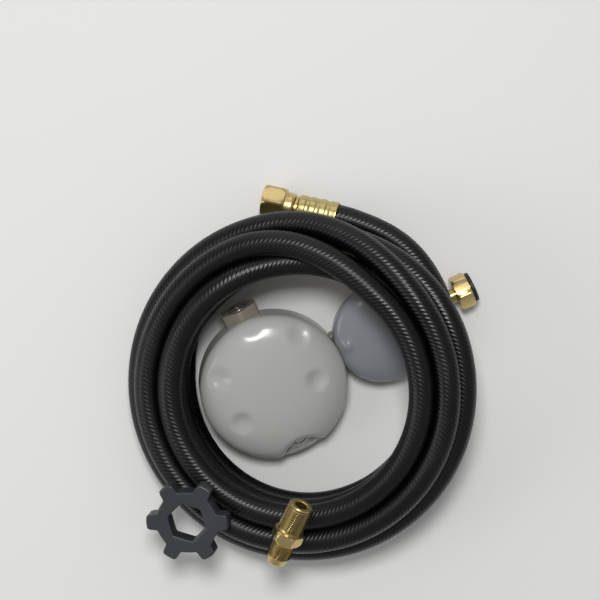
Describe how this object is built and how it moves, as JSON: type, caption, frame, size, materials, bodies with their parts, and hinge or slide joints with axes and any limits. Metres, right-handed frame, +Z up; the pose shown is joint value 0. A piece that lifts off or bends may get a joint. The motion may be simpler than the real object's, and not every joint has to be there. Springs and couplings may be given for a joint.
{
  "type": "propane regulator hose",
  "caption": "Two-stage gas regulator inside a coiled black rubber hose with brass swivel nuts, a brass flare adapter and a star-shaped handwheel.",
  "frame": {"origin": "on the floor, under the middle of the regulator, adapter and handwheel taken together", "axes": "+Z up from the floor on which the coil lies; the regulator inlet points 25 degrees from +X towards +Y; the visible hose end is on the +Y side"},
  "size_m": [0.2371, 0.2531, 0.0914],
  "materials": {
    "casting": "grey-beige painted zinc casting, satin",
    "bonnet_metal": "bare die-cast metal",
    "cover_plastic": "off-white moulded plastic, semi-gloss",
    "hose_rubber": "black ribbed rubber hose cover",
    "brass": "bright machined brass",
    "steel": "plated steel",
    "diaphragm_rubber": "fabric-reinforced rubber",
    "seal_rubber": "black moulded rubber",
    "wheel_plastic": "black moulded plastic",
    "plug_plastic": "black moulded plastic"
  },
  "bodies": {
    "regulator": {"regulator_body": "casting", "second_stage_diaphragm": "diaphragm_rubber", "second_stage_bonnet": "bonnet_metal", "main_spring": "steel", "flange_screw_1": "steel", "flange_screw_2": "steel", "flange_screw_3": "steel", "flange_screw_4": "steel", "flange_screw_5": "steel", "flange_screw_6": "steel", "vent_screen": "steel", "lever_pin": "steel", "orifice_seat": "brass", "first_stage_diaphragm": "diaphragm_rubber", "first_stage_bonnet": "bonnet_metal", "first_stage_spring": "steel", "first_stage_cover": "cover_plastic", "first_stage_screw_1": "steel", "first_stage_screw_2": "steel", "first_stage_screw_3": "steel", "first_stage_screw_4": "steel", "poppet_spring": "steel", "poppet_plug": "brass", "inlet_nipple": "brass", "inlet_filter": "brass", "inlet_seal": "seal_rubber"},
    "cover": {"second_stage_cover": "cover_plastic"},
    "adjusting_screw": {"adjusting_plug": "plug_plastic"},
    "diaphragm": {"diaphragm_plate": "steel", "relief_spring": "steel", "relief_retainer": "brass"},
    "lever": {"lever": "steel"},
    "valve": {"valve_stem": "brass", "valve_disc": "seal_rubber"},
    "flap": {"vent_flap": "seal_rubber"},
    "first_plate": {"first_stage_plate": "steel"},
    "poppet": {"first_stage_pin": "steel", "first_stage_poppet": "seal_rubber"},
    "inlet_nut": {"inlet_nut": "brass"},
    "hose": {"hose_coil": "hose_rubber", "hose_tail_a": "hose_rubber", "hose_end_a": "hose_rubber", "ferrule_a": "brass", "hose_stem_a": "brass", "hose_tail_b": "hose_rubber", "hose_end_b": "hose_rubber", "ferrule_b": "brass", "hose_stem_b": "brass"},
    "nut_a": {"swivel_nut_a": "brass"},
    "nut_b": {"swivel_nut_b": "brass"},
    "adapter": {"flare_adapter": "brass"},
    "wheel": {"handwheel": "wheel_plastic"}
  },
  "joints": [
    {"name": "cover_lift", "type": "slide", "parent": "regulator", "child": "cover", "axis": [0.1036, -0.2222, 0.9695], "range_m": [0, 0.03]},
    {"name": "adjusting_turn", "type": "hinge", "parent": "regulator", "child": "adjusting_screw", "pos_m": [-0.02768, 0.01799, 0.03495], "axis": [0.1036, -0.2222, 0.9695], "range_deg": [-360, 360]},
    {"name": "diaphragm_travel", "type": "slide", "parent": "regulator", "child": "diaphragm", "axis": [0.1036, -0.2222, 0.9695], "range_m": [0, 0.0012], "stiffness_N_per_m": 600, "springref_m": -0.004, "deforming": ["main_spring"]},
    {"name": "lever_turn", "type": "hinge", "parent": "regulator", "child": "lever", "pos_m": [-0.03822, 0.0193, 0.01265], "axis": [0.4097, -0.8786, -0.2452], "range_deg": [0, 8]},
    {"name": "valve_travel", "type": "slide", "parent": "regulator", "child": "valve", "axis": [0.9063, 0.4226, 0], "range_m": [0, 0.0003]},
    {"name": "flap_lift", "type": "slide", "parent": "regulator", "child": "flap", "axis": [0.1036, -0.2222, 0.9695], "range_m": [0, 0.0015]},
    {"name": "first_stage_travel", "type": "slide", "parent": "regulator", "child": "first_plate", "axis": [0.1036, -0.2222, 0.9695], "range_m": [0, 0.001], "stiffness_N_per_m": 2000, "springref_m": -0.003, "deforming": ["first_stage_spring", "poppet_spring"]},
    {"name": "poppet_travel", "type": "slide", "parent": "regulator", "child": "poppet", "axis": [0.1036, -0.2222, 0.9695], "range_m": [0, 0.001]},
    {"name": "inlet_nut_turn", "type": "hinge", "parent": "regulator", "child": "inlet_nut", "pos_m": [0.09967, 0.08349, 0.01304], "axis": [0.9063, 0.4226, 0], "continuous": true},
    {"name": "hose_lift", "type": "slide", "parent": "regulator", "child": "hose", "axis": [0, 0, 1], "range_m": [0, 0.12]},
    {"name": "nut_a_turn", "type": "hinge", "parent": "hose", "child": "nut_a", "pos_m": [-0.02618, 0.14335, 0.01393], "axis": [0.9668, -0.2143, 0.1392], "continuous": true},
    {"name": "nut_b_turn", "type": "hinge", "parent": "hose", "child": "nut_b", "pos_m": [0.02186, 0.10938, 0.01128], "axis": [-0.9897, 0.1391, -0.0349], "continuous": true},
    {"name": "adapter_lift", "type": "slide", "parent": "hose", "child": "adapter", "axis": [0, 0, 1], "range_m": [0, 0.06]},
    {"name": "wheel_lift", "type": "slide", "parent": "hose", "child": "wheel", "axis": [0, 0, 1], "range_m": [0, 0.06]}
  ],
  "couplings": [
    {"joint": "lever_turn", "follows": "diaphragm_travel", "rad_per_m": 111.11},
    {"joint": "valve_travel", "follows": "diaphragm_travel", "ratio": 0.2222},
    {"joint": "poppet_travel", "follows": "first_stage_travel", "ratio": 1}
  ]
}
